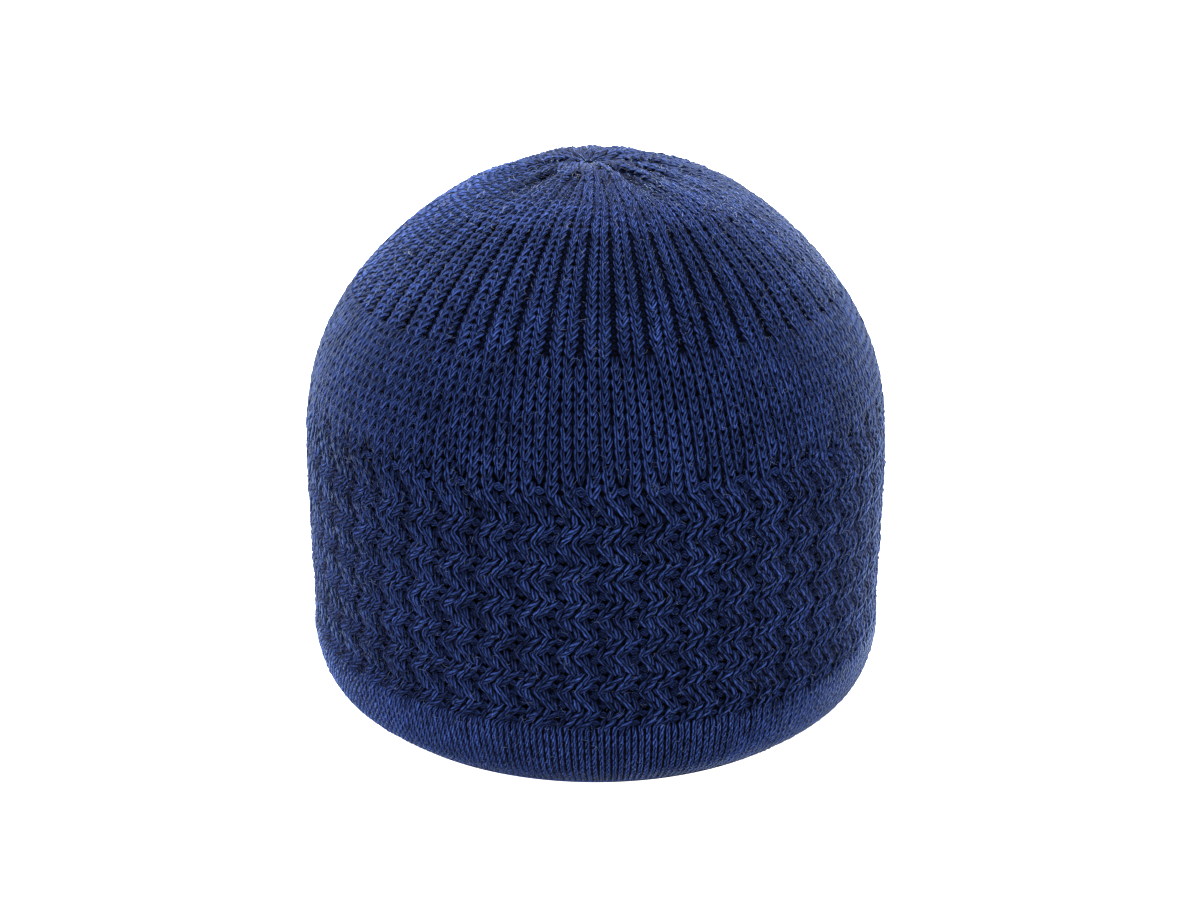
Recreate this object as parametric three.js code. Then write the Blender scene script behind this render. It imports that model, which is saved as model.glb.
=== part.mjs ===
// Knit cap, worked in the round from a drawn-in hem to a gathered top.
// Millimetres, +Z up. The origin is the centre of the opening, on the surface that the cap rests
// on, and -Y is the front. The knitting is one fabric, and each kind of stitch in it is a ring of
// its own here: hem, zigzag band, plain band, ribbed crown and gathered top.

import * as THREE from 'three';
import { mergeVertices } from 'three/addons/utils/BufferGeometryUtils.js';

// Size of the whole cap
const capWidth = 180;
const capHeight = 167.6;
const rimWidth = 153;
const seatWidth = 3;
const hemRise = 19.5;
const wall = 3.4;

// Depth of each kind of stitch, measured up the wall. The gathered top takes what is left.
const hemDepth = 29;
const zigzagDepth = 70.5;
const plainDepth = 39;
const ribbedDepth = 40;
const zoneGap = 0.3;

// Ribs: two knit wales stand proud, and the purl wale between them is sunk into the wall
const ribCount = 48;
const walesPerRib = 3;
const purlWale = 1;
const purlSink = 1.6;
const crownSink = 1.5;

// The zigzag band's ribs lean to one side and then to the other
const leanCount = 12;
const leanWidth = 6.4;

// Smooth rings have fewer columns than ribbed ones
const smoothColumns = 96;

// The hem opens out from the rim: drawnIn is the share of the drawn-in width that is left, up is
// the share of hemRise
const hemCurve = [
  { drawnIn: 1.0, up: 0.0 },
  { drawnIn: 0.33, up: 0.43 },
  { drawnIn: 0.05, up: 1.0 },
];

// From there to the top: out is the share of half the cap's width, up is the share of the rise
// from the hem's curve to the top. The last row is the gather, a little below the dome round it.
const domeCurve = [
  { out: 0.994, up: 0.09 },
  { out: 1.0, up: 0.3 },
  { out: 1.0, up: 0.4 },
  { out: 0.985, up: 0.518 },
  { out: 0.942, up: 0.617 },
  { out: 0.881, up: 0.695 },
  { out: 0.799, up: 0.768 },
  { out: 0.701, up: 0.834 },
  { out: 0.59, up: 0.892 },
  { out: 0.463, up: 0.942 },
  { out: 0.326, up: 0.977 },
  { out: 0.16, up: 0.998 },
  { out: 0.0, up: 0.99 },
];

// Folds that run into the gather: turn is the direction in degrees from the front, spread its half
// width in degrees, and depth the share of foldDepth
const foldDepth = 2.2;
const folds = [
  { turn: 10, spread: 5, depth: 0.5 },
  { turn: 28, spread: 7, depth: 1.0 },
  { turn: 52, spread: 7, depth: 0.8 },
  { turn: 84, spread: 9, depth: 1.0 },
  { turn: 113, spread: 8, depth: 0.7 },
  { turn: 141, spread: 8, depth: 0.9 },
  { turn: 170, spread: 9, depth: 0.7 },
  { turn: 203, spread: 8, depth: 1.0 },
  { turn: 236, spread: 9, depth: 0.8 },
  { turn: 275, spread: 9, depth: 1.0 },
  { turn: 313, spread: 8, depth: 0.9 },
  { turn: 340, spread: 7, depth: 0.6 },
];

// Rows of each ring's section up its outside, and up its inside
const rows = {
  hem: { outside: 4, inside: 3 },
  zigzag: { outside: leanCount, inside: 2 },
  plain: { outside: 4, inside: 2 },
  ribbed: { outside: 3, inside: 2 },
  gathered: { outside: 6, inside: 3 },
};

const navyKnit = { color: 0x1d2b58, roughness: 0.95, metalness: 0.0 };

const halfWidth = capWidth / 2;
const waleCount = ribCount * walesPerRib;

function outlineCurve() {
  const drawnIn = (capWidth - rimWidth) / 2;
  const domeRise = capHeight - hemRise;
  const points = [
    ...hemCurve.map((row) => new THREE.Vector3(halfWidth - row.drawnIn * drawnIn, row.up * hemRise, 0)),
    ...domeCurve.map((row) => new THREE.Vector3(row.out * halfWidth, hemRise + row.up * domeRise, 0)),
  ];
  return new THREE.CatmullRomCurve3(points, false, 'centripetal');
}

const outline = outlineCurve();
const outlineLength = outline.getLength();

// A point of the wall at a distance up the outside from the rim. The way in is square to the
// outside, and at the very top it is straight down.
function wallPoint(distance) {
  const share = THREE.MathUtils.clamp(distance / outlineLength, 0, 1);
  const place = outline.getPointAt(share);
  const along = outline.getTangentAt(share);
  const atTop = share === 1;
  return {
    distance,
    out: atTop ? 0 : place.x,
    up: place.y,
    inward: atTop ? { out: 0, up: -1 } : { out: -along.y, up: along.x },
  };
}

function innerPoint(distance) {
  const point = wallPoint(distance);
  return {
    ...point,
    out: Math.max(point.out + point.inward.out * wall, 0),
    up: point.up + point.inward.up * wall,
    inside: true,
  };
}

function evenSteps(from, to, count) {
  return Array.from({ length: count + 1 }, (_, step) => from + ((to - from) * step) / count);
}

// A closed section: up the outside, across, and down the inside
function ringSection(from, to, { outside, inside }) {
  const up = evenSteps(from, to, outside).map(wallPoint);
  const down = evenSteps(to, from, inside).map(innerPoint);
  return [...up, ...down, up[0]];
}

// The hem's section also has the flat ring that the cap rests on
function hemSection(from, to, steps) {
  const section = ringSection(from, to, steps);
  const edge = section.pop();
  const seat = { ...edge, out: edge.out - seatWidth, inside: true };
  return [...section, seat, edge];
}

// Turns a section about the axis. shape gives how deep a point is sunk into the wall and how far
// it is turned aside, and shift turns the whole ring by a share of one column.
function knitRing(name, section, columns, shape, shift = 0) {
  const profile = section.map((point) => new THREE.Vector2(point.out, point.up));
  const lathe = new THREE.LatheGeometry(profile, columns);
  const places = lathe.attributes.position;
  for (let column = 0; column <= columns; column += 1) {
    const turn = (((column % columns) + shift) / columns) * 2 * Math.PI;
    section.forEach((point, row) => {
      const { sink, aside } = shape(point, column % columns, turn);
      const radius = point.out + point.inward.out * sink;
      const angle = turn + aside / halfWidth;
      const up = point.up + point.inward.up * sink;
      places.setXYZ(column * section.length + row, radius * Math.sin(angle), -radius * Math.cos(angle), up);
    });
  }
  const ring = new THREE.Mesh(closedGeometry(lathe), new THREE.MeshStandardMaterial(navyKnit));
  ring.name = name;
  return ring;
}

// Joins the seam and the points that meet on the axis, and drops the triangles that this closes
function closedGeometry(lathe) {
  lathe.deleteAttribute('normal');
  lathe.deleteAttribute('uv');
  const joined = mergeVertices(lathe, 1e-4);
  const kept = [];
  const corners = joined.index.array;
  for (let first = 0; first < corners.length; first += 3) {
    const [a, b, c] = corners.slice(first, first + 3);
    if (a !== b && b !== c && c !== a) {
      kept.push(a, b, c);
    }
  }
  joined.setIndex(kept);
  joined.computeVertexNormals();
  return joined;
}

function isPurl(column) {
  return column % walesPerRib === purlWale;
}

function smooth() {
  return { sink: 0, aside: 0 };
}

// Each lean takes an equal stretch of the band, and the ribs change sides at its ends
function zigzagRib(from, to) {
  return (point, column) => {
    const leans = ((to - point.distance) / (to - from)) * leanCount;
    const phase = leans % 2;
    const side = phase < 1 ? phase : 2 - phase;
    return {
      sink: isPurl(column) && !point.inside ? purlSink : 0,
      aside: (side - 0.5) * leanWidth,
    };
  };
}

function straightRib(point, column) {
  return { sink: isPurl(column) && !point.inside ? crownSink : 0, aside: 0 };
}

// The folds deepen from the ring's lower edge and close again at the gather
function gatherFolds(from) {
  return (point, column, turn) => {
    const rise = (point.distance - from) / (outlineLength - from);
    const swell = Math.sin(Math.PI * THREE.MathUtils.clamp(rise, 0, 1) ** 2);
    const degrees = THREE.MathUtils.radToDeg(turn);
    const depths = folds.map((fold) => {
      const away = THREE.MathUtils.euclideanModulo(degrees - fold.turn + 180, 360) - 180;
      return fold.depth * Math.exp(-((away / fold.spread) ** 2));
    });
    return { sink: foldDepth * swell * Math.max(...depths), aside: 0 };
  };
}

const hemTop = hemDepth;
const zigzagTop = hemTop + zigzagDepth;
const plainTop = zigzagTop + plainDepth;
const ribbedTop = plainTop + ribbedDepth;
const halfGap = zoneGap / 2;

function hem() {
  return knitRing('hem', hemSection(0, hemTop - halfGap, rows.hem), smoothColumns, smooth);
}

function zigzagBand() {
  const from = hemTop + halfGap;
  const to = zigzagTop - halfGap;
  return knitRing('zigzag_band', ringSection(from, to, rows.zigzag), waleCount, zigzagRib(from, to), 0.5);
}

function plainBand() {
  const section = ringSection(zigzagTop + halfGap, plainTop - halfGap, rows.plain);
  return knitRing('plain_band', section, smoothColumns, smooth);
}

function ribbedCrown() {
  const section = ringSection(plainTop + halfGap, ribbedTop - halfGap, rows.ribbed);
  return knitRing('ribbed_crown', section, waleCount, straightRib, 0.5);
}

function gatheredTop() {
  const from = ribbedTop + halfGap;
  const up = evenSteps(from, outlineLength, rows.gathered.outside).map(wallPoint);
  const down = evenSteps(outlineLength, from, rows.gathered.inside).map(innerPoint);
  const section = [...down, ...up];
  return knitRing('gathered_top', section, smoothColumns, gatherFolds(from));
}

const cap = new THREE.Group();
cap.add(hem(), zigzagBand(), plainBand(), ribbedCrown(), gatheredTop());

export default cap;
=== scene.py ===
# %% [markdown]
# # A knit cap, one stitch at a time
# A knitted fabric is rows of yarn loops. From the outside each knit stitch shows as the two legs of
# a loop, and each purl stitch as a small bar in a hollow. A flat skin with a bump texture would
# give the colour, but its outline would be smooth and light could not fall between the stitches.
# So every stitch here is real yarn, a short tube bent over the wall of the cap, made for the whole
# cap at once from numpy arrays.
# The solid model of the cap is loaded first. It gives the size, and it is never moved.

# %% Load the frame
import math

import bpy
import numpy as np
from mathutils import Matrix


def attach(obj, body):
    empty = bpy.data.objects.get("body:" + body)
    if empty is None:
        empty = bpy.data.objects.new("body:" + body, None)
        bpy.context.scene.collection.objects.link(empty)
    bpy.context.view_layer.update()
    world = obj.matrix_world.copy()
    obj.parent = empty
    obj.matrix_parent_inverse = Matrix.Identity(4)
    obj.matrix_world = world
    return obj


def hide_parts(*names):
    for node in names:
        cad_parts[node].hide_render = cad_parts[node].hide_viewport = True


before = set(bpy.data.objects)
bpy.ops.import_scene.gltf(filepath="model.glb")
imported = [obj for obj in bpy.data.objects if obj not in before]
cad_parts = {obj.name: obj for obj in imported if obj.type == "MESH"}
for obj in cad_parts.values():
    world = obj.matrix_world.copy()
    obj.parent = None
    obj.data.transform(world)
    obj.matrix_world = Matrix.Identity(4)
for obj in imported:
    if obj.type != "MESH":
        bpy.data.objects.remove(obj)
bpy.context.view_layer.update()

# %% [markdown]
# ## Sizes
# The sizes are metres. Four kinds of stitch follow each other up the wall, and the gathered top
# takes what is left. A wale is one column of stitches and a course is one row. There are 144 wales,
# and every third one is a purl wale wherever the fabric is ribbed.

# %% Sizes of the cap and of its knitting
MM = 0.001
CAP_HALF_WIDTH = 90 * MM
CAP_HEIGHT = 167.6 * MM
RIM_HALF_WIDTH = 76.5 * MM
HEM_RISE = 19.5 * MM
SEAT_WIDTH = 3.0 * MM
WALL = 3.3 * MM

HEM_DEPTH = 29 * MM
ZIGZAG_DEPTH = 70.5 * MM
PLAIN_DEPTH = 39 * MM
RIBBED_DEPTH = 40 * MM

RIBS = 48
WALES_PER_RIB = 3
WALES = RIBS * WALES_PER_RIB
PURL = 2
MERGED = 3
YARN_RADIUS = 0.82 * MM

hem_top = HEM_DEPTH
zigzag_top = hem_top + ZIGZAG_DEPTH
plain_top = zigzag_top + PLAIN_DEPTH
ribbed_top = plain_top + RIBBED_DEPTH
print("zones end at", [round(edge / MM, 1) for edge in (hem_top, zigzag_top, plain_top, ribbed_top)], "mm")

# %% [markdown]
# ## The wall
# The cap is round, so one curve describes its outside: a rounded hem, a side that is nearly
# straight, and a dome that dips a little at the gather. The curve runs through a few chosen points.
# Those of the hem are shares of how far it is drawn in and of its rise, and those of the dome are
# shares of the half width and of the height above the hem. A table of the curve's length turns a
# distance up the wall into a place, which is how a knitter counts: so many rows up, so many
# stitches along.

# %% The outline of the wall
HEM_CURVE = [(1.0, 0.0), (0.33, 0.43), (0.05, 1.0)]
DOME_CURVE = [
    (0.994, 0.09), (1.0, 0.3), (1.0, 0.4), (0.985, 0.518), (0.942, 0.617), (0.881, 0.695),
    (0.799, 0.768), (0.701, 0.834), (0.59, 0.892), (0.463, 0.9435), (0.326, 0.980),
    (0.16, 1.009), (0.07, 1.008), (0.0, 0.994),
]
OUTLINE_STEPS = 1200


def curve_through(points, steps):
    """A smooth curve through points: between two points it is a cubic that leaves and arrives
    along the slopes given by their neighbours, weighed by the square root of the distances."""
    points = np.asarray(points, float)
    knots = np.concatenate([[0], np.cumsum(np.sqrt(np.linalg.norm(np.diff(points, axis=0), axis=1)))])
    rates = np.diff(points, axis=0) / np.diff(knots)[:, None]
    spans = np.diff(knots)[:, None]
    slopes = np.vstack([rates[:1], (rates[:-1] * spans[1:] + rates[1:] * spans[:-1])
                        / (spans[1:] + spans[:-1]), rates[-1:]])
    where = np.linspace(0, knots[-1], steps)
    piece = np.clip(np.searchsorted(knots, where, side="right") - 1, 0, len(rates) - 1)
    span = np.diff(knots)[piece][:, None]
    t = (where - knots[piece])[:, None] / span
    return ((1 + 2 * t) * (1 - t) ** 2 * points[piece] + t * (1 - t) ** 2 * span * slopes[piece]
            + t ** 2 * (3 - 2 * t) * points[piece + 1] + t ** 2 * (t - 1) * span * slopes[piece + 1])


drawn_in = CAP_HALF_WIDTH - RIM_HALF_WIDTH
outline_points = [(CAP_HALF_WIDTH - share * drawn_in, up * HEM_RISE) for share, up in HEM_CURVE]
outline_points += [(out * CAP_HALF_WIDTH, HEM_RISE + up * (CAP_HEIGHT - HEM_RISE))
                   for out, up in DOME_CURVE]
outline = curve_through(outline_points, OUTLINE_STEPS)
outline_run = np.concatenate([[0], np.cumsum(np.linalg.norm(np.diff(outline, axis=0), axis=1))])
wall_length = outline_run[-1]
outline_slope = np.gradient(outline, outline_run, axis=0)
outline_slope /= np.linalg.norm(outline_slope, axis=1)[:, None]
print("the wall is", round(wall_length / MM, 1), "mm long from rim to gather")

# %% [markdown]
# Two helpers carry everything onto the wall. A place is given by its wale, its distance up the wall
# and how far it stands proud of the outline. Wale 0 is at the front. The top of the real cap does
# not sit quite over its middle, and a short table says how far it is moved aside at which distance.

# %% Places on the wall
TOP_ASIDE = [(plain_top, 0.1 * MM), (ribbed_top, 1.1 * MM), (ribbed_top + 14 * MM, 1.7 * MM),
             (ribbed_top + 30 * MM, 0.6 * MM), (wall_length, -2.2 * MM)]


def table_at(table, up):
    """Value of a table of (distance up the wall, value) rows, straight between the rows."""
    rows = np.array(table)
    return np.interp(up, rows[:, 0], rows[:, 1])


def radius_at(up):
    """Distance of the wall from the axis at a distance up the wall."""
    return np.interp(up, outline_run, outline[:, 0])


def wall_out(wale, up):
    """Direction square to the wall: the outline's slope turned a quarter, then swung round the
    axis by the wale's share of a full turn."""
    turn = 2 * np.pi * wale / WALES
    out = np.interp(up, outline_run, outline_slope[:, 1])
    rise = -np.interp(up, outline_run, outline_slope[:, 0])
    return np.stack([out * np.sin(turn), -out * np.cos(turn), rise], axis=-1)


def on_wall(wale, up, proud):
    """Point at a wale and a distance up the wall: the outline's point, swung round the axis, moved
    aside with the top, and moved proud along the direction square to the wall."""
    turn = 2 * np.pi * wale / WALES
    radius = radius_at(up)
    height = np.interp(up, outline_run, outline[:, 1])
    aside = table_at(TOP_ASIDE, up)
    base = np.stack([radius * np.sin(turn) + aside, -radius * np.cos(turn), height], axis=-1)
    return base + np.asarray(proud)[..., None] * wall_out(wale, up)


front_place = on_wall(np.array(0.0), np.array(zigzag_top), np.array(0.0))
print("front of the wall at the top of the zigzag band:", front_place.round(4))

# %% [markdown]
# ## Where the wales run
# In the zigzag band the ribs lean to one side and then to the other. In the plain band and the
# crown they run straight up, with a slight drift to one side, as knitting in the round has. Where
# the fabric is ribbed the purl wale is narrow and sunk, and its two knit neighbours spread over it.
# Three tables follow the wall up, each row a distance and a value: the drift and the width of a purl
# wale, both in wales, and how far the side of a full rib falls back.

# %% The run of the wales
LEANS = 12
FIRST_LEAN = 8.0 * MM
LEAN_WIDTH = 1.22
DRIFT = [(0.0, 1.3), (hem_top, 1.1), (zigzag_top - 2 * FIRST_LEAN, 1.0),
         (zigzag_top - 0.5 * FIRST_LEAN, 0.8), (zigzag_top, 0.46), (zigzag_top + 12 * MM, 0.3),
         (plain_top, 0.12), (ribbed_top, 0.0), (wall_length, 0.0)]
FULLY_RIBBED = 0.5
PURL_WIDTH = [(0.0, 1.0), (hem_top - 1 * MM, 1.0), (hem_top + 2 * MM, 0.32), (zigzag_top + 1 * MM, 0.34),
              (zigzag_top + 8 * MM, 1.0), (plain_top - 3 * MM, 1.0), (plain_top + 4 * MM, 0.30),
              (ribbed_top - 2.6 * MM, 0.32), (ribbed_top - 1.6 * MM, 0.6), (ribbed_top - 0.4 * MM, 0.6),
              (ribbed_top + 0.8 * MM, 0.15), (wall_length, 0.05)]
RIB_ROUND = [(0.0, 1.4 * MM), (zigzag_top, 1.3 * MM), (plain_top, 1.0 * MM),
             (ribbed_top - 2 * MM, 1.2 * MM), (ribbed_top + 1 * MM, 0.4 * MM),
             (ribbed_top + 6 * MM, 0.8 * MM), (wall_length, 1.0 * MM)]


def lean_at(up):
    """How far the wales are pushed aside, in wales: a triangle wave down the zigzag band, whose
    first lean is longer than the others."""
    down = zigzag_top - up
    later = 1 + (down - FIRST_LEAN) / (ZIGZAG_DEPTH - FIRST_LEAN) * (LEANS - 1)
    leans = np.clip(np.where(down < FIRST_LEAN, down / FIRST_LEAN, later), 0, LEANS)
    phase = np.mod(leans, 2)
    return np.where(phase < 1, phase, 2 - phase) * LEAN_WIDTH


def wale_width(column, up):
    """Width of a wale in wales: the purl wale's own width, half of what it leaves of its rib for a
    knit wale, and all of that once the two knit wales are merged at the top."""
    purl = table_at(PURL_WIDTH, up)
    knit = (WALES_PER_RIB - purl) / 2
    return np.where(column == PURL, purl, np.where(column == MERGED, 2 * knit, knit))


def rib_round(across, up):
    """How far the sides of a rib fall back: with the square of the distance from its middle, as much
    as the purl wale is narrowed there."""
    ribbed_here = np.clip((1 - table_at(PURL_WIDTH, up)) / FULLY_RIBBED, 0, 1)
    return table_at(RIB_ROUND, up) * ribbed_here * (across / (WALES_PER_RIB / 2)) ** 2


def wale_centre(rib, column, up):
    """Middle of a wale: the two knit wales lie on each side of the rib's middle, and the purl wale
    half a rib further on, all moved aside by the lean and the drift."""
    knit = wale_width(0, up)
    places = {0: -knit / 2, 1: knit / 2, PURL: WALES_PER_RIB / 2, MERGED: 0.0}
    offset = sum(np.where(column == kind, place, 0.0) for kind, place in places.items())
    return rib * WALES_PER_RIB + offset + lean_at(up) + table_at(DRIFT, up)


print("lean down the band:", lean_at(np.linspace(zigzag_top, hem_top, 7)).round(2))

# %% [markdown]
# ## Folds at the gather
# Where the top is drawn together the fabric has more width than it needs, so it sinks into shallow
# folds that all run to the gather. Each row is a fold: its direction and its width in degrees, and
# its depth as a share of the deepest.

# %% Folds of the gathered top
FOLD_DEPTH = 4.0 * MM
FOLDS = [
    (5, 5, 0.5), (32, 10, 1.0), (58, 8, 0.6), (84, 9, 0.9), (113, 8, 0.6), (141, 8, 0.5),
    (170, 9, 0.15), (203, 8, 0.15), (236, 9, 0.7), (284, 8, 1.0), (309, 9, 1.0), (340, 7, 0.7),
]


def fold_at(wale, up):
    """Depth of the folds: a bell across each fold, swelling from the top of the ribs and closing
    again at the gather."""
    degrees = 360 * wale / WALES
    rise = np.clip((up - ribbed_top) / (wall_length - ribbed_top), 0, 1)
    swell = np.sin(np.pi * rise ** 2)
    deepest = np.zeros(np.broadcast(degrees, rise).shape)
    for turn, spread, depth in FOLDS:
        away = np.mod(degrees - turn + 180, 360) - 180
        deepest = np.maximum(deepest, depth * np.exp(-((away / spread) ** 2)))
    return FOLD_DEPTH * swell * deepest


all_round = np.linspace(0, WALES, 500)[:, None]
all_up = np.linspace(ribbed_top, wall_length, 50)
print("deepest fold:", round(float(fold_at(all_round, all_up).max()) / MM, 2), "mm")

# %% [markdown]
# ## Yarn
# A stitch's leg is a short tube, closed at both ends, that swells in the middle and dives into the
# fabric at its ends. Thousands of them go into one mesh. The ring of points round the tube is laid
# out for all tubes at once, and the faces repeat the same pattern with a shift.
# A smooth tube shades like a polished rod, but spun yarn has no crisp side. So each point also gets a
# normal of its own, the direction that it seems to face, bent from the tube's towards the wall's.

# %% Tubes of yarn
BEND_TO_WALL = 2.5


def put_mesh(name, points, quads, triangles, quad_uv, triangle_uv, tones, depths, normals):
    """Puts arrays into a new smooth mesh object with its yarn UV map, and with the tone of its
    stitches and the depth below the outline, in millimetres, as attributes; the material paints
    shade by that depth. The normals say which way the surface seems to face when light falls on it."""
    mesh = bpy.data.meshes.new(name)
    corners = np.concatenate([quads.ravel(), triangles.ravel()])
    starts = np.concatenate([np.arange(len(quads)) * 4, len(quads) * 4 + np.arange(len(triangles)) * 3])
    mesh.vertices.add(len(points))
    mesh.vertices.foreach_set("co", points.astype(np.float32).ravel())
    mesh.loops.add(len(corners))
    mesh.loops.foreach_set("vertex_index", corners.astype(np.int32))
    mesh.polygons.add(len(starts))
    mesh.polygons.foreach_set("loop_start", starts.astype(np.int32))
    mesh.polygons.foreach_set("use_smooth", np.ones(len(starts), bool))
    mesh.update(calc_edges=True)
    layer = mesh.uv_layers.new(name="yarn")
    uv = np.concatenate([quad_uv.reshape(-1, 2), triangle_uv.reshape(-1, 2)])
    layer.uv.foreach_set("vector", uv.astype(np.float32).ravel())
    for attribute, values in (("tone", tones), ("depth", depths)):
        layer = mesh.attributes.new(attribute, "FLOAT", "POINT")
        layer.data.foreach_set("value", values.astype(np.float32))
    mesh.normals_split_custom_set_from_vertices(normals)
    thing = bpy.data.objects.new(name, mesh)
    bpy.context.scene.collection.objects.link(thing)
    print(name, "has", 2 * len(quads) + len(triangles), "triangles")
    return thing


def tube_arrays(centres, outs, proud, half_wide, half_deep, sides):
    """Tubes along rows of centre points. Round each centre lies an ellipse: half_wide along the
    wall and half_deep square to it. The first and last centres are the closed tips. The normals
    are those of the tube, bent some way towards the wall's own."""
    count, stations = centres.shape[:2]
    along = np.gradient(centres, axis=1)
    along /= np.linalg.norm(along, axis=-1, keepdims=True)
    side = np.cross(along, outs)
    side /= np.linalg.norm(side, axis=-1, keepdims=True)
    lift = np.cross(side, along)
    turn = 2 * np.pi * np.arange(sides) / sides
    sideways = np.cos(turn)[:, None] * side[:, 1:-1, None]
    outwards = np.sin(turn)[:, None] * lift[:, 1:-1, None]
    rings = (centres[:, 1:-1, None] + half_wide[:, 1:-1, None, None] * sideways
             + half_deep[:, 1:-1, None, None] * outwards)
    tips = centres[:, [0, -1]]
    tip_outs = outs[:, [0, -1]]
    points = np.concatenate([tips, rings.reshape(count, -1, 3)], axis=1)
    normals = np.concatenate([tip_outs, (sideways + outwards).reshape(count, -1, 3)], axis=1)
    wall_outs = np.concatenate([tip_outs, np.repeat(outs[:, 1:-1], sides, axis=1)], axis=1)
    facing = (normals * wall_outs).sum(-1, keepdims=True)
    normals = normals + BEND_TO_WALL * (1 + facing) * wall_outs
    normals /= np.linalg.norm(normals, axis=-1, keepdims=True)
    ring_proud = proud[:, 1:-1, None] + np.sin(turn) * half_deep[:, 1:-1, None]
    depths = -np.concatenate([proud[:, [0, -1]], ring_proud.reshape(count, -1)], axis=1) / MM

    ring = np.arange(stations - 3)[:, None] * sides + 2
    here, after = np.arange(sides), (np.arange(sides) + 1) % sides
    quads = np.stack([ring + here, ring + sides + here, ring + sides + after, ring + after], -1)
    quads = quads.reshape(-1, 4)
    last = 2 + (stations - 3) * sides
    first_fan = np.stack([np.zeros(sides, int), 2 + here, 2 + after], -1)
    last_fan = np.stack([np.ones(sides, int), last + after, last + here], -1)
    triangles = np.concatenate([first_fan, last_fan])
    shift = (np.arange(count) * points.shape[1])[:, None, None]

    run = np.cumsum(np.linalg.norm(np.diff(centres, axis=1), axis=-1), axis=1)
    run = np.concatenate([np.zeros((count, 1)), run], axis=1) / MM
    around = np.arange(sides + 1) / sides
    low, high = run[:, 1:-2, None], run[:, 2:-1, None]
    full = np.ones(sides)
    quad_uv = np.stack([
        np.stack([low * full, low * 0 + around[:-1]], -1), np.stack([high * full, low * 0 + around[:-1]], -1),
        np.stack([high * full, low * 0 + around[1:]], -1), np.stack([low * full, low * 0 + around[1:]], -1),
    ], axis=3)
    middle = (around[:-1] + around[1:]) / 2
    ends = []
    for tip, near, first, second in ((0, 1, around[:-1], around[1:]), (-1, -2, around[1:], around[:-1])):
        ends.append(np.stack([
            np.stack([run[:, tip, None] * full, middle + 0 * run[:, :1]], -1),
            np.stack([run[:, near, None] * full, first + 0 * run[:, :1]], -1),
            np.stack([run[:, near, None] * full, second + 0 * run[:, :1]], -1),
        ], axis=2))
    triangle_uv = np.concatenate(ends, axis=1)
    return (points.reshape(-1, 3), (quads + shift).reshape(-1, 4), (triangles + shift).reshape(-1, 3),
            quad_uv.reshape(-1, 4, 2), triangle_uv.reshape(-1, 3, 2), depths.ravel(), normals.reshape(-1, 3))


def yarn_piece(name, batches):
    """One mesh object from several batches of tubes, each a dict of tube_arrays' arguments and a
    tone for each tube."""
    gathered = [[] for _ in range(8)]
    first = 0
    for batch in batches:
        tube_tones = batch.pop("tones")
        points, quads, triangles, quad_uv, triangle_uv, depths, normals = tube_arrays(**batch)
        tones = np.repeat(tube_tones, len(points) // len(tube_tones))
        arrays = (points, quads + first, triangles + first, quad_uv, triangle_uv, tones, depths, normals)
        for kept, new in zip(gathered, arrays):
            kept.append(new)
        first += len(points)
    return put_mesh(name, *(np.concatenate(kept) for kept in gathered))


# %% [markdown]
# ## Legs and bars
# The table of a leg says where its middle line runs: across in widths of its wale, up in heights of
# its course and in or out in yarn radii. It starts low and deep beside the wale's middle, comes to
# the front, leans outwards and dives again at its top, under the next stitch. Swell is its thickness
# as a share of the full one. A purl stitch shows two short arches instead, the head of one loop and
# the foot of the next, and their table is measured the same way. Small random shifts keep the fabric
# from looking like a machine drawing.

# %% Stitches
LEG = {
    "across": np.array([0.01, 0.065, 0.175, 0.275, 0.31, 0.27]),
    "up": np.array([-0.12, 0.04, 0.40, 0.80, 1.08, 1.26]),
    "out": np.array([-1.0, -0.15, 0.0, -0.10, -0.60, -1.4]),
    "swell": np.array([0.0, 0.85, 1.0, 1.0, 0.80, 0.0]),
}
ZIGZAG_LEG = {
    "across": np.array([0.06, 0.115, 0.195, 0.27, 0.30, 0.27]),
    "up": np.array([-0.22, 0.00, 0.40, 0.80, 1.06, 1.24]),
    "out": np.array([-1.1, -0.20, 0.0, -0.10, -0.60, -1.4]),
    "swell": np.array([0.0, 0.80, 1.0, 1.0, 0.80, 0.0]),
}
BAR = {
    "across": np.array([-0.95, -0.60, 0.0, 0.60, 0.95]),
    "up": np.array([-0.20, 0.02, 0.24, 0.02, -0.20]),
    "out": np.array([-0.8, -0.15, 0.15, -0.15, -0.8]),
    "swell": np.array([0.0, 0.85, 1.0, 0.85, 0.0]),
}
LEG_WIDTH = 0.176
ZIGZAG_LEG_WIDTH = 0.155
RIB_LEG_WIDTH = 0.186
TOP_LEG_WIDTH = 0.225
SHIFT_WHOLE = 0.018
SHIFT_BEND = 0.014
SHIFT_UP = 0.035
SHIFT_THICK = 0.05
SHIFT_OUT = 0.10
# Painted shade in the folds: this share of a fold's depth is added to the depth that darkens the yarn's
# colour.
FOLD_SHADE = 0.35
LOWEST_LEG = 0.6 * MM
HIGHEST_LEG = wall_length - 1.5 * MM
LEG_LIFT = 0.30
BAR_REACH = 1.25
BAR_SHIFT = 0.05
BAR_LIMIT = 0.24
dice = np.random.default_rng(7)


def course_starts(low, high, courses):
    """Start of each course between two distances up the wall, and the height of one course."""
    height = (high - low) / courses
    return low + height * np.arange(courses), height


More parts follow.
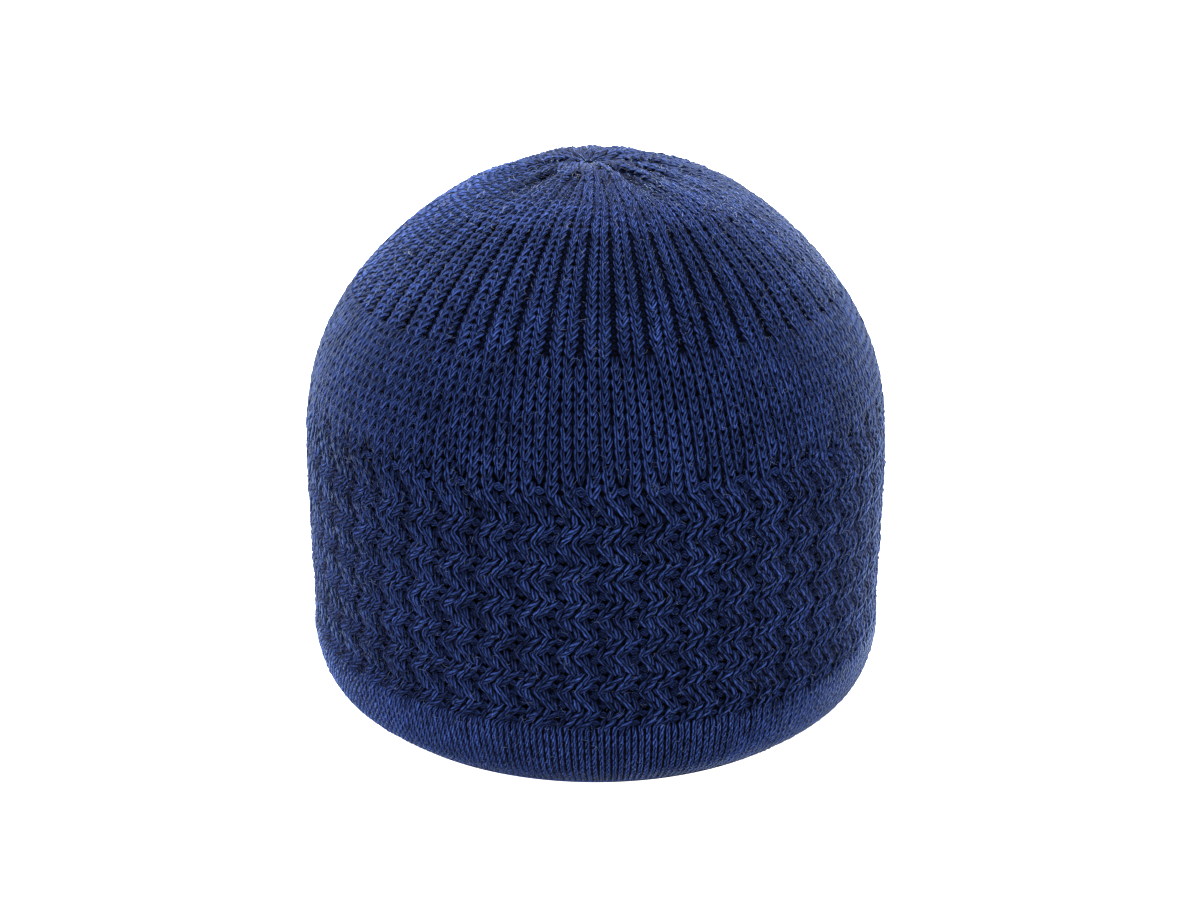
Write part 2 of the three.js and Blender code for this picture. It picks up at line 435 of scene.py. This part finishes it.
def knit_legs(starts, height, columns, sides, leg=LEG, leg_width=LEG_WIDTH, loose=1.0, joined=1, tone=0.0):
    """Both legs of every knit stitch in some courses and some columns of each rib, or of each few
    ribs that are joined into one. Loose scales the random shifts. The tones are drawn round tone:
    a stitch with a higher one is lighter, and a tone above zero paints light on a whole band, one
    below zero paints shade."""
    rib, column, start, hand = (grid.ravel()[:, None] for grid in np.meshgrid(
        np.arange(0, RIBS, joined), np.array(columns), starts, np.array([-1.0, 1.0]), indexing="ij"))
    count = len(rib)
    up = start + height * (leg["up"] + loose * dice.normal(0, SHIFT_UP, (count, 1)))
    up = np.clip(up, LOWEST_LEG, HIGHEST_LEG)
    width = wale_width(column, up) * joined
    wobble = dice.normal(0, SHIFT_WHOLE, (count, 1))
    wobble = wobble + dice.normal(0, SHIFT_BEND, (count, len(leg["across"])))
    across = hand * leg["across"] + loose * wobble
    middle = wale_centre(rib, column, up) + (joined - 1) * WALES_PER_RIB / 2
    wale = middle + across * width
    pitch = 2 * np.pi * radius_at(up) / WALES
    thick = 1 + loose * dice.normal(0, SHIFT_THICK, (count, 1))
    half_wide = leg_width * pitch * width * leg["swell"] * thick
    lift = np.minimum(YARN_RADIUS, LEG_LIFT * pitch * width)
    half_deep = lift * leg["swell"] * thick
    proud = lift * (leg["out"] - 1 + loose * dice.normal(0, SHIFT_OUT, (count, 1)))
    from_rib_middle = wale - rib * WALES_PER_RIB - lean_at(up) - table_at(DRIFT, up)
    if joined == 1:
        proud = proud - rib_round(from_rib_middle, up)
    fold = fold_at(wale, up)
    # painted shade: the depth that darkens the colour counts a share of the fold
    return {"centres": on_wall(wale, up, proud - fold), "outs": wall_out(wale, up),
            "proud": proud - FOLD_SHADE * fold, "half_wide": half_wide, "half_deep": half_deep,
            "sides": sides, "tones": dice.normal(tone, 1, count)}


def purl_bars(starts, height, sunk, thick, sides=4):
    """Two bars for every purl stitch in some courses, sunk below the knit wales beside it: the head
    of one loop arches up and the foot of the next one hangs down. Their thickness is a share of
    the yarn's."""
    rib, start, arch = (grid.ravel()[:, None] for grid in np.meshgrid(
        np.arange(RIBS), starts, np.array([-1.0, 1.0]), indexing="ij"))
    count = len(rib)
    column = np.full_like(rib, PURL)
    middle = start + height * 0.5
    up = middle + height * arch * BAR["up"] + dice.normal(0, BAR_SHIFT * height, (count, 1))
    width = wale_width(column, middle)
    wale = wale_centre(rib, column, up) + BAR["across"] * width * BAR_REACH
    pitch = 2 * np.pi * radius_at(up) / WALES
    radius = np.minimum(YARN_RADIUS * thick, BAR_LIMIT * pitch)
    proud = radius * BAR["out"] - sunk
    swell = radius * BAR["swell"]
    return {"centres": on_wall(wale, up, proud - fold_at(wale, up)), "outs": wall_out(wale, up),
            "proud": proud, "half_wide": swell, "half_deep": swell, "sides": sides,
            "tones": dice.normal(0, 1, count)}


# %% [markdown]
# ## Hem
# The hem is knitted more tightly than the rest, and it turns in a little towards the rim. Each of
# its stitches is a knit stitch whose two legs stand almost upright, so the eye sees fine upright
# ribs, two to a wale. The five kinds of stitch are five pieces, and each stands for its solid in
# the model.

# %% Hem
HEM_COURSES = 12
HEM_START = 1.2 * MM
HEM_LOOSE = 0.8
HEM_LEG_WIDTH = 0.190
# Painted light: the hem's stitches are drawn a little lighter than the yarn, for the light from the floor
# below.
HEM_PAINTED_LIGHT = 0.5
HEM_LEG = dict(LEG, across=np.array([0.18, 0.215, 0.24, 0.25, 0.255, 0.24]),
               out=np.array([-0.8, -0.15, 0.0, 0.0, -0.25, -0.8]))
starts, height = course_starts(HEM_START, hem_top, HEM_COURSES)
hem = yarn_piece("hem_stitches", [
    knit_legs(starts, height, (0, 1, PURL), 5, HEM_LEG, HEM_LEG_WIDTH, loose=HEM_LOOSE, tone=HEM_PAINTED_LIGHT)])

# %% [markdown]
# ## Zigzag band
# Two knit wales and a sunk purl wale make a rib, and twelve leans to and fro make the zigzag. The
# stitches have no lean of their own: they follow the run of the wales, so each half of a V is steep
# on one lean and flat on the next, as in the real fabric. Their legs are a little thinner here.

# %% Zigzag band
ZIGZAG_COURSES = 25
ZIGZAG_PURL_SUNK = 1.75 * MM
ZIGZAG_BAR_THICK = 0.8
# Painted shade: the zigzag band's stitches are drawn darker than the yarn is.
ZIGZAG_PAINTED_SHADE = -2.6
starts, height = course_starts(hem_top, zigzag_top, ZIGZAG_COURSES)
zigzag = yarn_piece("zigzag_stitches", [
    knit_legs(starts, height, (0, 1), 5, ZIGZAG_LEG, ZIGZAG_LEG_WIDTH, tone=ZIGZAG_PAINTED_SHADE)])
bar_batches = [purl_bars(starts, height, ZIGZAG_PURL_SUNK, ZIGZAG_BAR_THICK)]

# %% [markdown]
# ## Plain band
# In the plain band every wale is a knit wale, and rows of V's cover it. The purl wales change over
# one course above the zigzag, so each of them starts narrow and then widens like the others.

# %% Plain band
PLAIN_COURSES = 12
PURL_COURSES_BELOW = 1
# Painted shade: the plain band's stitches are drawn darker than the yarn is.
PLAIN_PAINTED_SHADE = -2.2
PLAIN_PURL_SUNK = 1.2 * MM
PLAIN_BAR_THICK = 0.9
starts, height = course_starts(zigzag_top, plain_top, PLAIN_COURSES)
plain = yarn_piece("plain_stitches", [
    knit_legs(starts, height, (0, 1), 6, tone=PLAIN_PAINTED_SHADE),
    knit_legs(starts[PURL_COURSES_BELOW:], height, (PURL,), 6, tone=PLAIN_PAINTED_SHADE)])
bar_batches.append(purl_bars(starts[:PURL_COURSES_BELOW], height, PLAIN_PURL_SUNK, PLAIN_BAR_THICK))

# %% [markdown]
# ## Ribbed crown
# The crown is ribbed again, with straight ribs that narrow as the round gets smaller. Its last purl
# course is left out, which opens a small eyelet at the top of each valley.

# %% Ribbed crown
RIBBED_COURSES = 17
CROWN_PURL_SUNK = 2.2 * MM
CROWN_BAR_THICK = 0.65
CROWN_TONE = 0.0
starts, height = course_starts(plain_top, ribbed_top, RIBBED_COURSES)
ribbed = yarn_piece("ribbed_stitches", [
    knit_legs(starts, height, (0, 1), 5, leg_width=RIB_LEG_WIDTH, tone=CROWN_TONE)])
bar_batches.append(purl_bars(starts[:-1], height, CROWN_PURL_SUNK, CROWN_BAR_THICK))

# %% [markdown]
# ## Gathered top
# Above the eyelets the purl wales are gone and the stitches are looser. Nearer the middle there is
# no room for all of them, and a knitter knits stitches together: first the two knit wales of a rib
# share one stitch, then two ribs do, and at the gather four ribs do.

# %% Gathered top
TOP_COURSES = 10
MERGED_COURSES = 4
JOINED_COURSES = 3
KNOT_COURSES = 2
TOP_LOOSE = 1.8
# Painted shade: the stitches nearer the gather are drawn darker, for the shade of its hollows.
MERGED_PAINTED_SHADE = -1.5
KNOT_PAINTED_SHADE = -3.0
MERGED_START = ribbed_top + 24 * MM
JOINED_START = ribbed_top + 33 * MM
KNOT_START = ribbed_top + 38.5 * MM
OVERLAP = 1.5 * MM
KNOT_OVERLAP = 1.0 * MM
GATHER_HOLE = 1.0 * MM
starts, height = course_starts(ribbed_top, MERGED_START, TOP_COURSES)
merged_starts, merged_height = course_starts(MERGED_START - OVERLAP, JOINED_START, MERGED_COURSES)
joined_starts, joined_height = course_starts(JOINED_START - OVERLAP, KNOT_START, JOINED_COURSES)
knot_starts, knot_height = course_starts(KNOT_START - KNOT_OVERLAP, wall_length - GATHER_HOLE, KNOT_COURSES)
loosely = {"leg_width": TOP_LEG_WIDTH, "loose": TOP_LOOSE}
top = yarn_piece("top_stitches", [
    knit_legs(starts, height, (0, 1), 5, **loosely),
    knit_legs(merged_starts, merged_height, (MERGED,), 6, tone=MERGED_PAINTED_SHADE, **loosely),
    knit_legs(joined_starts, joined_height, (MERGED,), 6, joined=2, tone=KNOT_PAINTED_SHADE, **loosely),
    knit_legs(knot_starts, knot_height, (MERGED,), 6, joined=4, tone=KNOT_PAINTED_SHADE, **loosely)])

# %% [markdown]
# ## Purl bars
# The bars lie in the valleys between the ribs. They are alike in all bands, so one piece holds them.

# %% Purl bars
bars = yarn_piece("purl_bars", bar_batches)

# %% [markdown]
# ## The ground behind the stitches
# The heads of the loops lie behind the legs and close the fabric. They are hardly seen, so one
# closed shell stands for them: its outside lies just under the legs and sinks with the valleys and
# the folds, and its inside is the back of the fabric. Its attribute depth is set row by row, not
# measured, and paints shade on it: dark outside, for the little light that falls between stitches,
# less dark on the outside of the top, and lighter inside.

# %% Ground
GROUND_SUNK = 1.30 * MM
GROUND_COLUMNS = 288
GROUND_ROWS_OUT = 76
GROUND_ROWS_IN = 40
HEM_NEARER = 0.3 * MM
HEM_BLEND = 3 * MM
FULL_PITCH = 2.6 * MM
FINEST_SHARE = 0.5
RIM_EASE = 0.4 * MM
OUTER_END = 1 * MM
INNER_END = 4 * MM
# Painted shade on the ground: the depths below are set, not measured, and darken its colour; from this far
# above the crown its outside is drawn less dark.
TOP_LIGHTER_FROM = 7 * MM
OUTSIDE_SHADE_DEPTH = 1.9
TOP_SHADE_DEPTH = 1.3
INSIDE_SHADE_DEPTH = 0.5


def closed_grid(name, rows, row_depths):
    """Closed surface from rings of points: each ring is joined to the next, and the first and the
    last are closed by a fan to their middle. Its yarn map counts millimetres from ring to ring, so
    the wave of the strands shows as fine rows that climb slowly round it."""
    rings = np.stack(rows)
    count, columns = rings.shape[:2]
    points = np.concatenate([rings.reshape(-1, 3), [rings[0].mean(0)], [rings[-1].mean(0)]])
    ring = np.arange(count - 1)[:, None] * columns
    here, after = np.arange(columns), (np.arange(columns) + 1) % columns
    quads = np.stack([ring + here, ring + columns + here, ring + columns + after, ring + after], -1)
    quads = quads.reshape(-1, 4)
    last = (count - 1) * columns
    triangles = np.concatenate([
        np.stack([np.full(columns, count * columns), here, after], -1),
        np.stack([np.full(columns, count * columns + 1), last + after, last + here], -1)])
    share = np.arange(columns + 1) / columns
    gaps = np.linalg.norm(np.diff(rings, axis=0), axis=-1).mean(1) / MM
    run = np.concatenate([[0], np.cumsum(gaps)])[:, None] + 0 * share[:-1]
    low, high = run[:-1], run[1:]
    left, right = low * 0 + share[:-1], low * 0 + share[1:]
    quad_uv = np.stack([np.stack([low, left], -1), np.stack([high, left], -1),
                        np.stack([high, right], -1), np.stack([low, right], -1)], axis=2)
    triangle_uv = np.zeros((len(triangles), 3, 2))
    depths = np.concatenate([np.repeat(row_depths, columns), [row_depths[0], row_depths[-1]]])
    tones = np.zeros(len(points))
    own_normals = np.zeros_like(points)
    return put_mesh(name, points, quads, triangles, quad_uv, triangle_uv, tones, depths, own_normals)


def ground_sunk(wale, up):
    """Depth of the ground below the outline: a little less in the hem and near the gather, where
    the stitches are finer, and more at the sides of a rib and in the folds, as the stitches lie."""
    middle = wale_centre(0, MERGED, up)
    across = np.mod(wale - middle + WALES_PER_RIB / 2, WALES_PER_RIB) - WALES_PER_RIB / 2
    pitch = 2 * np.pi * radius_at(up) / WALES
    near_gather = np.clip(pitch / FULL_PITCH, FINEST_SHARE, 1)
    in_hem = np.clip((hem_top - up) / HEM_BLEND, 0, 1)
    sunk = (GROUND_SUNK - HEM_NEARER * in_hem) * near_gather
    return sunk + rib_round(across, up) + fold_at(wale, up)


around = WALES * np.arange(GROUND_COLUMNS) / GROUND_COLUMNS
outer_ups = np.linspace(wall_length - OUTER_END, 0, GROUND_ROWS_OUT)
inner_ups = np.linspace(0, wall_length - INNER_END, GROUND_ROWS_IN)
rings = [on_wall(around, up + 0 * around, -ground_sunk(around, up + 0 * around)) for up in outer_ups[:-1]]
turn = 2 * np.pi * around / WALES
for radius in (RIM_HALF_WIDTH - RIM_EASE, RIM_HALF_WIDTH - SEAT_WIDTH):
    rings.append(np.stack([radius * np.sin(turn), -radius * np.cos(turn), 0 * turn], -1))
rings += [on_wall(around, up + 0 * around, -WALL - fold_at(around, up + 0 * around)) for up in inner_ups]
# Painted shade: set depths draw the ground's outside dark, the top's outside less dark and its inside
# lighter.
outer_depths = np.where(outer_ups[:-1] > ribbed_top + TOP_LIGHTER_FROM, TOP_SHADE_DEPTH, OUTSIDE_SHADE_DEPTH)
inner_depths = np.full(len(rings) - len(outer_depths), INSIDE_SHADE_DEPTH)
ground = closed_grid("knit_ground", rings, np.concatenate([outer_depths, inner_depths]))

# %% [markdown]
# ## Fuzz
# Spun yarn has fine hairs that stand off the stitches. Seen square on they hardly show, but they
# break the clean edge of the cap. Each hair is a very thin tube that leaves the fabric in a random
# direction and bends back over it. A few thousand are enough, because the material adds the rest.

# %% Fuzz
HAIRS = 4000
HAIR_RADIUS = 0.03 * MM
HAIR_LENGTHS = (0.8 * MM, 3.0 * MM)
HAIR_RISES = (0.10 * MM, 0.9 * MM)
HAIR_ROOT = 0.5 * MM
HAIR_SPAN = (0.02, 0.995)
HAIR_BEND = 1.0
HAIR_ARCH = (0.45, 0.8)
HAIR_TAPER = np.array([0, 1.0, 1.0, 0.7, 0])
LOWEST_HAIR = 1.5 * MM
LEAST_RADIUS = 6 * MM


def fuzz_hairs(count):
    """Hairs spread evenly over the wall: the distance up is drawn by the area below it, and the
    path runs along a slightly bent line while it rises out of the fabric."""
    area = np.cumsum(outline[:, 0])
    up = np.interp(dice.uniform(*HAIR_SPAN, count) * area[-1], area, outline_run)[:, None]
    wale = dice.uniform(0, WALES, (count, 1))
    share = np.linspace(0, 1, len(HAIR_TAPER))
    length = dice.uniform(*HAIR_LENGTHS, (count, 1))
    heading = dice.uniform(0, 2 * np.pi, (count, 1)) + dice.normal(0, HAIR_BEND, (count, 1)) * share
    pitch = 2 * np.pi * np.maximum(radius_at(up), LEAST_RADIUS) / WALES
    ups = np.clip(up + length * share * np.sin(heading), LOWEST_HAIR, wall_length - OUTER_END)
    wales = wale + length * share * np.cos(heading) / pitch
    rise = dice.uniform(*HAIR_RISES, (count, 1))
    arch = np.sin(share * np.pi * dice.uniform(*HAIR_ARCH, (count, 1)))
    proud = -HAIR_ROOT + (rise + HAIR_ROOT) * arch
    radius = HAIR_RADIUS * HAIR_TAPER + 0 * wales
    return {"centres": on_wall(wales, ups, proud - fold_at(wales, ups)), "outs": wall_out(wales, ups),
            "proud": np.zeros_like(proud), "half_wide": radius, "half_deep": radius, "sides": 3,
            "tones": dice.normal(0, 1, count)}


fuzz = yarn_piece("knit_fuzz", [fuzz_hairs(HAIRS)])

# %% [markdown]
# ## Navy yarn
# The yarn is matte and navy. Each leg shows the twist of its strands, and loose fibres make the
# fabric look paler where it turns away from the eye, which is what sheen gives. The twist is a wave
# that climbs round the tube on the yarn's own UV map: its length in millimetres one way and its
# share of a full turn the other. Besides its bump, the wave paints shade in the grooves between the
# strands and light on their crowns. Stretched noise along the same map gives the fibres, and soft
# clouds make some places lighter than others. Each of them is stretched to a range of light, and all
# of them multiply the navy. The attribute depth paints shade on what lies between the stitches,
# darker the deeper it lies. The bands differ a little in sheen, since looser knitting shows more
# fibres, and the yarn in the valleys has almost none. The sheen is one plain value for a whole
# material, so each band has its own.

# %% Yarn material
NAVY = (0.0073, 0.0148, 0.0555)
SHEEN_TINT = (0.58, 0.73, 1.0, 1.0)
ZIGZAG_SHEEN_TINT = (0.42, 0.58, 1.0, 1.0)
FUZZ_BLUE = (0.03, 0.05, 0.12)
STRANDS = 4
STRAND_PITCH = 14.0
FIBRE_RUN = 0.9
FIBRE_ROUND = 1.7
TONE_STEP = 31.7
CLOUD_SCALE = 90
TONE_SHARE = 0.09
STREAKS = ((0.34, 0.66), (0.15, 2.1))
PATCHES = ((0.3, 0.7), (0.75, 1.25))
# Painted shade and light: the grooves between the strands are drawn darker and their crowns lighter.
GROOVE_SHADE = ((0.35, 0.95), (0.12, 1.45))
# Painted shade: yarn that lies deep between the stitches is drawn darker, by its depth.
HOLLOW_SHADE = ((0.3, 1.9), (1.05, 0.06))
HAIR_TONES = ((-2.0, 2.0), (0.6, 1.4))
STRAND_HEIGHT = 0.7
FIBRE_HEIGHT = 0.6
BUMP_DEPTH = 0.20 * MM
SHEEN_ROUGHNESS = 0.18
YARN_ROUGHNESS = 0.85
YARN_SPECULAR = 0.02
HAIR_ROUGHNESS = 0.6


def link(tree, source, target):
    """Joins an output socket to an input socket."""
    tree.links.new(source, target)


def math_node(tree, operation, first, second=None):
    """A math node on sockets or numbers."""
    node = tree.nodes.new("ShaderNodeMath")
    node.operation = operation
    for socket, value in zip(node.inputs, (first, second)):
        if value is None:
            continue
        if isinstance(value, (int, float)):
            socket.default_value = value
        else:
            link(tree, value, socket)
    return node.outputs[0]


def map_range(tree, value, given, wanted):
    """Stretches a value from one range to another and holds it at the ends."""
    node = tree.nodes.new("ShaderNodeMapRange")
    for name, number in zip(("From Min", "From Max", "To Min", "To Max"), (*given, *wanted)):
        node.inputs[name].default_value = number
    link(tree, value, node.inputs["Value"])
    return node.outputs["Result"]


def yarn_material(name, sheen, tint=SHEEN_TINT):
    """Matte twisted yarn. Its strands are the square root of half of one plus the sine of the climb
    and the turn round the tube. The colour is navy times one plus a share of the stitch's tone,
    times the streaks of the fibres, the soft patches, the painted shade in the strand grooves and
    painted light on their crowns, and the painted shade of the hollows."""
    material = bpy.data.materials.new(name)
    material.use_nodes = True
    tree = material.node_tree
    shader = tree.nodes["Principled BSDF"]
    uv = tree.nodes.new("ShaderNodeUVMap")
    uv.uv_map = "yarn"
    split = tree.nodes.new("ShaderNodeSeparateXYZ")
    link(tree, uv.outputs[0], split.inputs[0])
    climb = math_node(tree, "MULTIPLY", split.outputs[0], STRANDS / STRAND_PITCH)
    turns = math_node(tree, "MULTIPLY", split.outputs[1], float(STRANDS))
    phase = math_node(tree, "MULTIPLY", math_node(tree, "ADD", climb, turns), 2 * math.pi)
    wave = math_node(tree, "SINE", phase)
    strand = math_node(tree, "SQRT", math_node(tree, "MULTIPLY_ADD", wave, 0.5))
    tone = tree.nodes.new("ShaderNodeAttribute")
    tone.attribute_name = "tone"
    depth = tree.nodes.new("ShaderNodeAttribute")
    depth.attribute_name = "depth"
    twist = math_node(tree, "ADD", math_node(tree, "MULTIPLY", split.outputs[1], 2 * math.pi),
                      math_node(tree, "MULTIPLY", split.outputs[0], 2 * math.pi / STRAND_PITCH))
    place = tree.nodes.new("ShaderNodeCombineXYZ")
    run = math_node(tree, "ADD", math_node(tree, "MULTIPLY", split.outputs[0], FIBRE_RUN),
                    math_node(tree, "MULTIPLY", tone.outputs["Fac"], TONE_STEP))
    link(tree, run, place.inputs[0])
    link(tree, math_node(tree, "MULTIPLY", math_node(tree, "COSINE", twist), FIBRE_ROUND), place.inputs[1])
    link(tree, math_node(tree, "MULTIPLY", math_node(tree, "SINE", twist), FIBRE_ROUND), place.inputs[2])
    fibres = tree.nodes.new("ShaderNodeTexNoise")
    fibres.inputs["Scale"].default_value = 1.0
    fibres.inputs["Detail"].default_value = 3
    fibres.inputs["Roughness"].default_value = 0.65
    link(tree, place.outputs[0], fibres.inputs["Vector"])
    coordinates = tree.nodes.new("ShaderNodeTexCoord")
    clouds = tree.nodes.new("ShaderNodeTexNoise")
    clouds.inputs["Scale"].default_value = CLOUD_SCALE
    clouds.inputs["Detail"].default_value = 2
    link(tree, coordinates.outputs["Object"], clouds.inputs["Vector"])
    streaks = map_range(tree, fibres.outputs["Fac"], *STREAKS)
    patches = map_range(tree, clouds.outputs["Fac"], *PATCHES)
    # painted shade in the strand grooves, painted light on their crowns, painted shade in the hollows
    grooves = map_range(tree, strand, *GROOVE_SHADE)
    hollow_shade = map_range(tree, depth.outputs["Fac"], *HOLLOW_SHADE)
    light = math_node(tree, "MULTIPLY_ADD", tone.outputs["Fac"], TONE_SHARE)
    light.node.inputs[2].default_value = 1.0
    for factor in (streaks, patches, grooves, hollow_shade):
        light = math_node(tree, "MULTIPLY", light, factor)
    colour = tree.nodes.new("ShaderNodeVectorMath")
    colour.operation = "SCALE"
    colour.inputs[0].default_value = NAVY
    link(tree, light, colour.inputs["Scale"])
    link(tree, colour.outputs[0], shader.inputs["Base Color"])
    height = math_node(tree, "ADD", math_node(tree, "MULTIPLY", strand, STRAND_HEIGHT),
                       math_node(tree, "MULTIPLY", fibres.outputs["Fac"], FIBRE_HEIGHT))
    bump = tree.nodes.new("ShaderNodeBump")
    bump.inputs["Strength"].default_value = 1.0
    bump.inputs["Distance"].default_value = BUMP_DEPTH
    link(tree, height, bump.inputs["Height"])
    link(tree, bump.outputs[0], shader.inputs["Normal"])
    shader.inputs["Roughness"].default_value = YARN_ROUGHNESS
    shader.inputs["Specular IOR Level"].default_value = YARN_SPECULAR
    shader.inputs["Sheen Weight"].default_value = sheen
    shader.inputs["Sheen Roughness"].default_value = SHEEN_ROUGHNESS
    shader.inputs["Sheen Tint"].default_value = tint
    return material


def fuzz_material(name):
    """Fine hairs of the same yarn, paler because light passes through them."""
    material = bpy.data.materials.new(name)
    material.use_nodes = True
    tree = material.node_tree
    shader = tree.nodes["Principled BSDF"]
    tone = tree.nodes.new("ShaderNodeAttribute")
    tone.attribute_name = "tone"
    light = map_range(tree, tone.outputs["Fac"], *HAIR_TONES)
    colour = tree.nodes.new("ShaderNodeVectorMath")
    colour.operation = "SCALE"
    colour.inputs[0].default_value = FUZZ_BLUE
    link(tree, light, colour.inputs["Scale"])
    link(tree, colour.outputs[0], shader.inputs["Base Color"])
    shader.inputs["Roughness"].default_value = HAIR_ROUGHNESS
    return material


SUNK_SHEEN = 0.05
SHEENS = {
    "hem": (0.36, SHEEN_TINT),
    "zigzag_band": (0.24, ZIGZAG_SHEEN_TINT),
    "plain_band": (0.18, SHEEN_TINT),
    "ribbed_crown": (0.30, SHEEN_TINT),
    "gathered_top": (0.42, SHEEN_TINT),
}
sunk_yarn = yarn_material("navy_yarn_sunk", SUNK_SHEEN)
hair = fuzz_material("navy_fuzz")
fuzz.data.materials.append(hair)
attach(fuzz, "root")
pieces = {"hem": hem, "zigzag_band": zigzag, "plain_band": plain, "ribbed_crown": ribbed,
          "gathered_top": top}
for node, piece in pieces.items():
    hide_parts(node)
    piece.data.materials.append(yarn_material("navy_yarn_" + node, *SHEENS[node]))
for piece in (bars, ground):
    piece.data.materials.append(sunk_yarn)
for piece in (*pieces.values(), bars, ground):
    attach(piece, "root")
print("yarn on", len(pieces), "bands, the purl bars and the ground")

# %% [markdown]
# ## Floor
# The cap rests on its rim on a plain white floor that glows a little, like a light table. It lights
# the hem from below, and no hard shadow falls beside the cap.

# %% Floor
FLOOR_HALF = 6.0
FLOOR_GLOW = 1.7
FLOOR_WHITE = (0.9, 0.9, 0.91, 1.0)
GLOW_WHITE = (1.0, 0.98, 0.99, 1.0)
FLOOR_ROUGHNESS = 0.9
FLOOR_BELOW = 0.1 * MM
floor_mesh = bpy.data.meshes.new("floor")
floor_mesh.from_pydata([(-FLOOR_HALF, -FLOOR_HALF, 0), (FLOOR_HALF, -FLOOR_HALF, 0),
                        (FLOOR_HALF, FLOOR_HALF, 0), (-FLOOR_HALF, FLOOR_HALF, 0)], [], [(0, 1, 2, 3)])
floor = bpy.data.objects.new("floor", floor_mesh)
floor.location.z = -FLOOR_BELOW
bpy.context.scene.collection.objects.link(floor)
white = bpy.data.materials.new("white_floor")
white.use_nodes = True
floor_shader = white.node_tree.nodes["Principled BSDF"]
floor_shader.inputs["Base Color"].default_value = FLOOR_WHITE
floor_shader.inputs["Roughness"].default_value = FLOOR_ROUGHNESS
floor_shader.inputs["Emission Color"].default_value = GLOW_WHITE
floor_shader.inputs["Emission Strength"].default_value = FLOOR_GLOW
floor_mesh.materials.append(white)
print("floor:", 2 * FLOOR_HALF, "m wide")

# %% [markdown]
# ## Lights
# A large soft light hangs overhead, two stand behind the cap and graze its edges, and a faint one
# fills the front. A pale surround adds a little from everywhere.

# %% Lights
SURROUND = 0.09
MIDDLE = (0, 0, CAP_HEIGHT / 2)
LIGHTS = {
    "overhead": {"place": (0.0, -0.15, 1.4), "size": 1.1, "watts": 54},
    "left_back": {"place": (-0.6, 0.95, 0.95), "size": 0.8, "watts": 115},
    "right_back": {"place": (0.55, 1.0, 0.85), "size": 0.8, "watts": 75},
    "right_front": {"place": (0.9, -0.9, 0.6), "size": 0.8, "watts": 2},
}
world = bpy.data.worlds.new("white_tent")
world.use_nodes = True
surround = world.node_tree.nodes["Background"]
surround.inputs["Color"].default_value = (1, 1, 1, 1)
surround.inputs["Strength"].default_value = SURROUND
bpy.context.scene.world = world


def soft_light(name, place, size, watts):
    """A square area light at place that points at the middle of the cap. It looks straight down to
    begin with, so it is tipped by the angle between that and the way to the middle, then turned."""
    lamp = bpy.data.lights.new(name, "AREA")
    lamp.size = size
    lamp.energy = watts
    thing = bpy.data.objects.new(name, lamp)
    thing.location = place
    away = np.array(MIDDLE) - np.array(place)
    down = math.acos(-away[2] / np.linalg.norm(away))
    thing.rotation_euler = (down, 0, math.atan2(away[0], -away[1]) + math.pi)
    bpy.context.scene.collection.objects.link(thing)


for name, lamp in LIGHTS.items():
    soft_light(name, **lamp)
print("lights:", list(LIGHTS))

# %% [markdown]
# ## Camera
# The camera looks down at the front of the cap from about 0.7 metres away. The picture is shifted
# sideways by a few pixels, because the cap's axis does not stand quite in its middle.

# %% Camera
CAMERA_TILT = math.radians(20.908)
CAMERA_DISTANCE = 693.6 * MM
CAMERA_AIM_HEIGHT = 73.5 * MM
SENSOR_WIDTH = 36
NEAREST_SEEN = 0.01
LENS_PX = 2217.6
FRAME_WIDTH_PX = 1200
AXIS_PX = 595.5
camera_data = bpy.data.cameras.new("camera")
camera_data.sensor_width = SENSOR_WIDTH
camera_data.lens = LENS_PX / FRAME_WIDTH_PX * camera_data.sensor_width
camera_data.shift_x = (FRAME_WIDTH_PX / 2 - AXIS_PX) / FRAME_WIDTH_PX
camera_data.clip_start = NEAREST_SEEN
camera = bpy.data.objects.new("camera", camera_data)
camera_height = CAMERA_AIM_HEIGHT + CAMERA_DISTANCE * math.sin(CAMERA_TILT)
camera.location = (0, -CAMERA_DISTANCE * math.cos(CAMERA_TILT), camera_height)
camera.rotation_euler = (math.pi / 2 - CAMERA_TILT, 0, 0)
bpy.context.scene.collection.objects.link(camera)
bpy.context.scene.camera = camera
bpy.context.scene.view_settings.view_transform = "Standard"
print("lens", round(camera_data.lens, 2), "mm")
